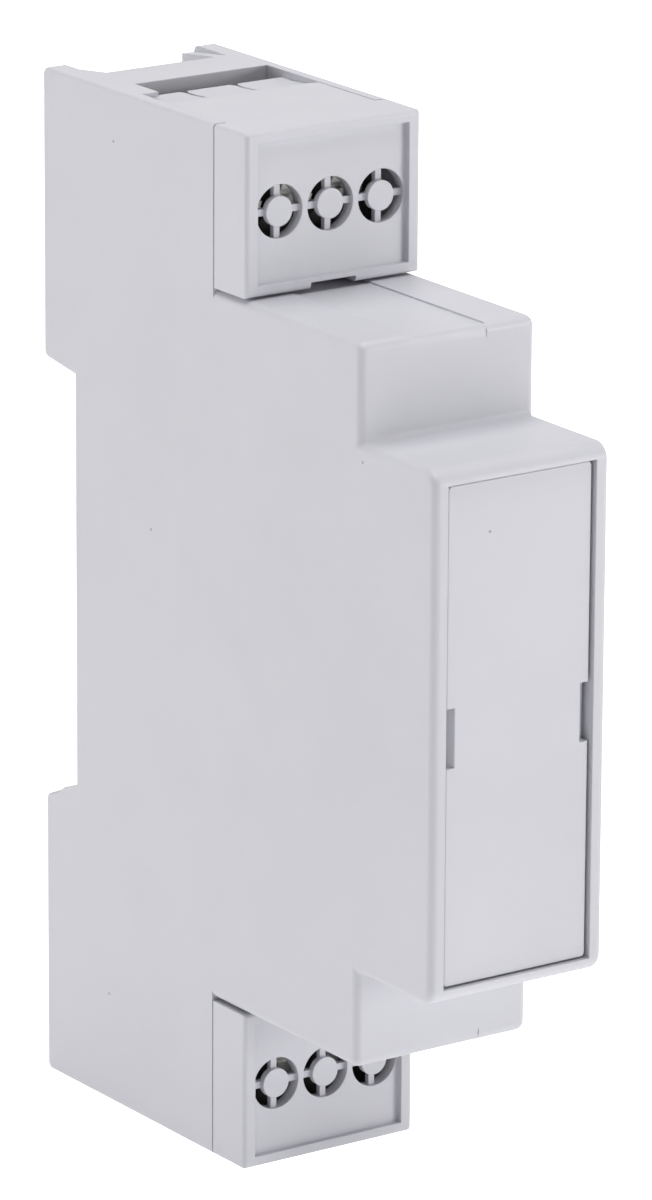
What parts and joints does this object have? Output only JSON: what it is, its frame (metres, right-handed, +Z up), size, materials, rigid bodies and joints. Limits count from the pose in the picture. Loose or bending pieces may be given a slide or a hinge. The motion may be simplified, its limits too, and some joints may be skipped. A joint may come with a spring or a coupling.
{
  "type": "industrial control relay",
  "caption": "Slim one-module rail-mounted control relay: blank stepped grey housing, pull-off terminal covers with knock-outs, rail latch.",
  "frame": {"origin": "centre of the rail seat, on the rail's centre line, at the face that the rail's front rests against", "axes": "+X to the right seen from the front, +Y out of the back towards the rail, +Z up"},
  "size_m": [0.0176, 0.058, 0.0904],
  "materials": {
    "housing_grey": "fine satin moulded",
    "cover_grey": "fine satin moulded",
    "latch_grey": "satin moulded",
    "spring_steel": "bright drawn wire",
    "terminal_grey": "satin moulded",
    "zinc_steel": "bright zinc plated",
    "tinned_copper": "tin plated",
    "board_green": "solder mask on glass laminate",
    "film_case": "moulded case",
    "can_sleeve": "shrink sleeve",
    "varistor_blue": "dipped epoxy",
    "resistor_coat": "dipped coating",
    "black_epoxy": "moulded epoxy",
    "relay_case": "moulded",
    "relay_base": "moulded",
    "bobbin_white": "moulded",
    "winding_copper": "enamelled wire",
    "magnet_iron": "plated soft iron",
    "contact_alloy": "spring alloy with silver faces"
  },
  "bodies": {
    "housing": {"housing_shell": "housing_grey", "rear_base": "housing_grey", "latch_spring": "spring_steel", "terminal_block_upper": "terminal_grey", "terminal_block_lower": "terminal_grey", "bus_bars_upper": "tinned_copper", "bus_bars_lower": "tinned_copper", "circuit_board": "board_green", "film_capacitor": "film_case", "smoothing_capacitor": "can_sleeve", "varistor": "varistor_blue", "series_resistors": "resistor_coat", "flyback_diode": "black_epoxy", "bridge_rectifier": "black_epoxy", "driver_transistor": "black_epoxy", "relay_base": "relay_base", "relay_case": "relay_case", "relay_bobbin": "bobbin_white", "relay_coil": "winding_copper", "relay_core": "magnet_iron", "relay_yoke": "magnet_iron", "contact_normally_open": "contact_alloy", "contact_normally_closed": "contact_alloy", "armature_spring": "spring_steel", "relay_pins": "tinned_copper"},
    "latch": {"rail_latch": "latch_grey"},
    "upper_cover": {"terminal_cover_upper": "cover_grey"},
    "lower_cover": {"terminal_cover_lower": "cover_grey"},
    "panel": {"front_panel": "cover_grey"},
    "armature": {"relay_armature": "magnet_iron", "contact_blade": "contact_alloy"},
    "screw_upper_left": {"terminal_screw_upper_left": "zinc_steel"},
    "clamp_upper_left": {"clamp_upper_left": "zinc_steel"},
    "screw_upper_middle": {"terminal_screw_upper_middle": "zinc_steel"},
    "clamp_upper_middle": {"clamp_upper_middle": "zinc_steel"},
    "screw_upper_right": {"terminal_screw_upper_right": "zinc_steel"},
    "clamp_upper_right": {"clamp_upper_right": "zinc_steel"},
    "screw_lower_left": {"terminal_screw_lower_left": "zinc_steel"},
    "clamp_lower_left": {"clamp_lower_left": "zinc_steel"},
    "screw_lower_middle": {"terminal_screw_lower_middle": "zinc_steel"},
    "clamp_lower_middle": {"clamp_lower_middle": "zinc_steel"},
    "screw_lower_right": {"terminal_screw_lower_right": "zinc_steel"},
    "clamp_lower_right": {"clamp_lower_right": "zinc_steel"}
  },
  "joints": [
    {"name": "latch_slide", "type": "slide", "parent": "housing", "child": "latch", "axis": [0, 0, -1], "range_m": [0, 0.0035], "stiffness_N_per_m": 700, "springref_m": -0.003, "deforming": ["latch_spring"]},
    {"name": "upper_cover_pull", "type": "slide", "parent": "housing", "child": "upper_cover", "axis": [0, -1, 0], "range_m": [0, 0.018]},
    {"name": "lower_cover_pull", "type": "slide", "parent": "housing", "child": "lower_cover", "axis": [0, -1, 0], "range_m": [0, 0.018]},
    {"name": "panel_pull", "type": "slide", "parent": "housing", "child": "panel", "axis": [0, -1, 0], "range_m": [0, 0.012]},
    {"name": "armature_swing", "type": "hinge", "parent": "housing", "child": "armature", "pos_m": [0.0061, -0.0085, -0.00308], "axis": [0, 1, 0], "range_deg": [0, 4], "stiffness_Nm_per_rad": 0.01, "springref_deg": -6.88},
    {"name": "screw_upper_left_turn", "type": "hinge", "parent": "housing", "child": "screw_upper_left", "pos_m": [-0.0051, -0.0195, 0.0382], "axis": [0, 1, 0], "range_deg": [0, 1801]},
    {"name": "clamp_upper_left_rise", "type": "slide", "parent": "housing", "child": "clamp_upper_left", "axis": [0, -1, 0], "range_m": [0, 0.00225]},
    {"name": "screw_upper_middle_turn", "type": "hinge", "parent": "housing", "child": "screw_upper_middle", "pos_m": [0, -0.0195, 0.0382], "axis": [0, 1, 0], "range_deg": [0, 1801]},
    {"name": "clamp_upper_middle_rise", "type": "slide", "parent": "housing", "child": "clamp_upper_middle", "axis": [0, -1, 0], "range_m": [0, 0.00225]},
    {"name": "screw_upper_right_turn", "type": "hinge", "parent": "housing", "child": "screw_upper_right", "pos_m": [0.0051, -0.0195, 0.0382], "axis": [0, 1, 0], "range_deg": [0, 1801]},
    {"name": "clamp_upper_right_rise", "type": "slide", "parent": "housing", "child": "clamp_upper_right", "axis": [0, -1, 0], "range_m": [0, 0.00225]},
    {"name": "screw_lower_left_turn", "type": "hinge", "parent": "housing", "child": "screw_lower_left", "pos_m": [-0.0051, -0.0195, -0.0382], "axis": [0, 1, 0], "range_deg": [0, 1801]},
    {"name": "clamp_lower_left_rise", "type": "slide", "parent": "housing", "child": "clamp_lower_left", "axis": [0, -1, 0], "range_m": [0, 0.00225]},
    {"name": "screw_lower_middle_turn", "type": "hinge", "parent": "housing", "child": "screw_lower_middle", "pos_m": [0, -0.0195, -0.0382], "axis": [0, 1, 0], "range_deg": [0, 1801]},
    {"name": "clamp_lower_middle_rise", "type": "slide", "parent": "housing", "child": "clamp_lower_middle", "axis": [0, -1, 0], "range_m": [0, 0.00225]},
    {"name": "screw_lower_right_turn", "type": "hinge", "parent": "housing", "child": "screw_lower_right", "pos_m": [0.0051, -0.0195, -0.0382], "axis": [0, 1, 0], "range_deg": [0, 1801]},
    {"name": "clamp_lower_right_rise", "type": "slide", "parent": "housing", "child": "clamp_lower_right", "axis": [0, -1, 0], "range_m": [0, 0.00225]}
  ],
  "couplings": [
    {"joint": "screw_upper_left_turn", "follows": "clamp_upper_left_rise", "rad_per_m": 13963},
    {"joint": "screw_upper_middle_turn", "follows": "clamp_upper_middle_rise", "rad_per_m": 13963},
    {"joint": "screw_upper_right_turn", "follows": "clamp_upper_right_rise", "rad_per_m": 13963},
    {"joint": "screw_lower_left_turn", "follows": "clamp_lower_left_rise", "rad_per_m": 13963},
    {"joint": "screw_lower_middle_turn", "follows": "clamp_lower_middle_rise", "rad_per_m": 13963},
    {"joint": "screw_lower_right_turn", "follows": "clamp_lower_right_rise", "rad_per_m": 13963}
  ]
}
